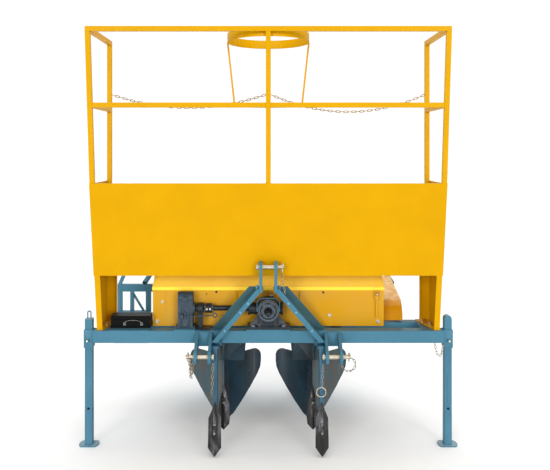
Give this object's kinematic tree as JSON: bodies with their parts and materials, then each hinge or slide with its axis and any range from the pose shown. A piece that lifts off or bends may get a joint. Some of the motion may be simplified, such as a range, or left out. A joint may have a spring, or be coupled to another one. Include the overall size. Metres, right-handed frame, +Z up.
{
  "type": "two-row sugarcane planter",
  "caption": "Tractor-mounted sugarcane planter with a tall cane cage on a box frame, three-point hitch, shaft-driven gearbox, fertiliser box, ridgers, chutes, seats and press wheels.",
  "frame": {"origin": "on the ground under the middle of the whole machine's box", "axes": "+X to the right seen from the tractor's side of the hitch looking back, +Y from the hitch to the operators' seats, +Z up"},
  "size_m": [2.5989, 1.4644, 2.82],
  "materials": {
    "blue": "satin enamel",
    "dark_blue": "satin enamel",
    "zinc": "zinc plated",
    "hammered_grey": "hammered paint",
    "yellow": "gloss enamel",
    "black_sheet": "gloss enamel",
    "worn_steel": "worn black",
    "seat_vinyl": "vinyl"
  },
  "bodies": {
    "frame": {"front_beam": "blue", "rear_beam": "blue", "frame_rails": "blue", "stand_sleeves": "blue", "hitch_brackets": "blue", "lower_hitch_pins": "zinc", "mast": "blue", "mast_stays": "dark_blue", "top_link_pin": "zinc", "mount_plates": "blue", "gearbox": "hammered_grey", "gearbox_strap": "blue", "shaft_bearing": "hammered_grey", "drive_case": "hammered_grey", "cage_legs": "yellow", "hopper_front": "yellow", "hopper_sides": "yellow", "hopper_floor": "yellow", "hopper_rear": "yellow", "cage_front_posts": "yellow", "cage_rear_posts": "yellow", "cage_front_rails": "yellow", "cage_side_rails": "yellow", "drum_hoop": "yellow", "drum_ring": "yellow", "drum_rods": "yellow", "safety_chains": "yellow", "fertiliser_box": "yellow", "box_latch": "zinc", "hopper_gussets": "yellow", "drive_guard": "yellow", "toolbox": "black_sheet", "ripper_shanks": "blue", "ripper_shares": "worn_steel", "ridgers": "dark_blue", "ridger_shares": "worn_steel", "sett_chutes": "yellow", "foot_deck": "blue", "boarding_step": "blue", "seat_frames": "blue", "seat_pads": "seat_vinyl", "grab_pipes": "blue", "wheel_arms": "blue"},
    "stand_left": {"stand_leg_left": "blue"},
    "stand_right": {"stand_leg_right": "blue"},
    "input_shaft": {"pto_shaft": "zinc"},
    "cross_shaft": {"cross_shaft": "hammered_grey"},
    "box_lid": {"fertiliser_lid": "yellow"},
    "toolbox_lid": {"toolbox_lid": "black_sheet"},
    "wheel_left": {"press_wheel_left": "blue"},
    "wheel_right": {"press_wheel_right": "blue"}
  },
  "joints": [
    {"name": "stand_left_slide", "type": "slide", "parent": "frame", "child": "stand_left", "axis": [0, 0, 1], "range_m": [0, 0.47]},
    {"name": "stand_right_slide", "type": "slide", "parent": "frame", "child": "stand_right", "axis": [0, 0, 1], "range_m": [0, 0.47]},
    {"name": "input_spin", "type": "hinge", "parent": "frame", "child": "input_shaft", "pos_m": [0, -0.44076, 0.929], "axis": [0, -1, 0], "continuous": true},
    {"name": "cross_spin", "type": "hinge", "parent": "frame", "child": "cross_shaft", "pos_m": [-0.3, -0.36076, 0.929], "axis": [1, 0, 0], "continuous": true},
    {"name": "box_lid_hinge", "type": "hinge", "parent": "frame", "child": "box_lid", "pos_m": [0, -0.17576, 1.15967], "axis": [-1, 0, 0], "range_deg": [0, 30]},
    {"name": "toolbox_lid_hinge", "type": "hinge", "parent": "frame", "child": "toolbox_lid", "pos_m": [-1.088, -0.27476, 0.85725], "axis": [-1, 0, 0], "range_deg": [0, 100]},
    {"name": "wheel_left_spin", "type": "hinge", "parent": "frame", "child": "wheel_left", "pos_m": [-0.345, 0.45924, 0.25], "axis": [1, 0, 0], "continuous": true},
    {"name": "wheel_right_spin", "type": "hinge", "parent": "frame", "child": "wheel_right", "pos_m": [0.345, 0.45924, 0.25], "axis": [1, 0, 0], "continuous": true}
  ],
  "couplings": [
    {"joint": "input_spin", "follows": "cross_spin", "ratio": 2}
  ]
}
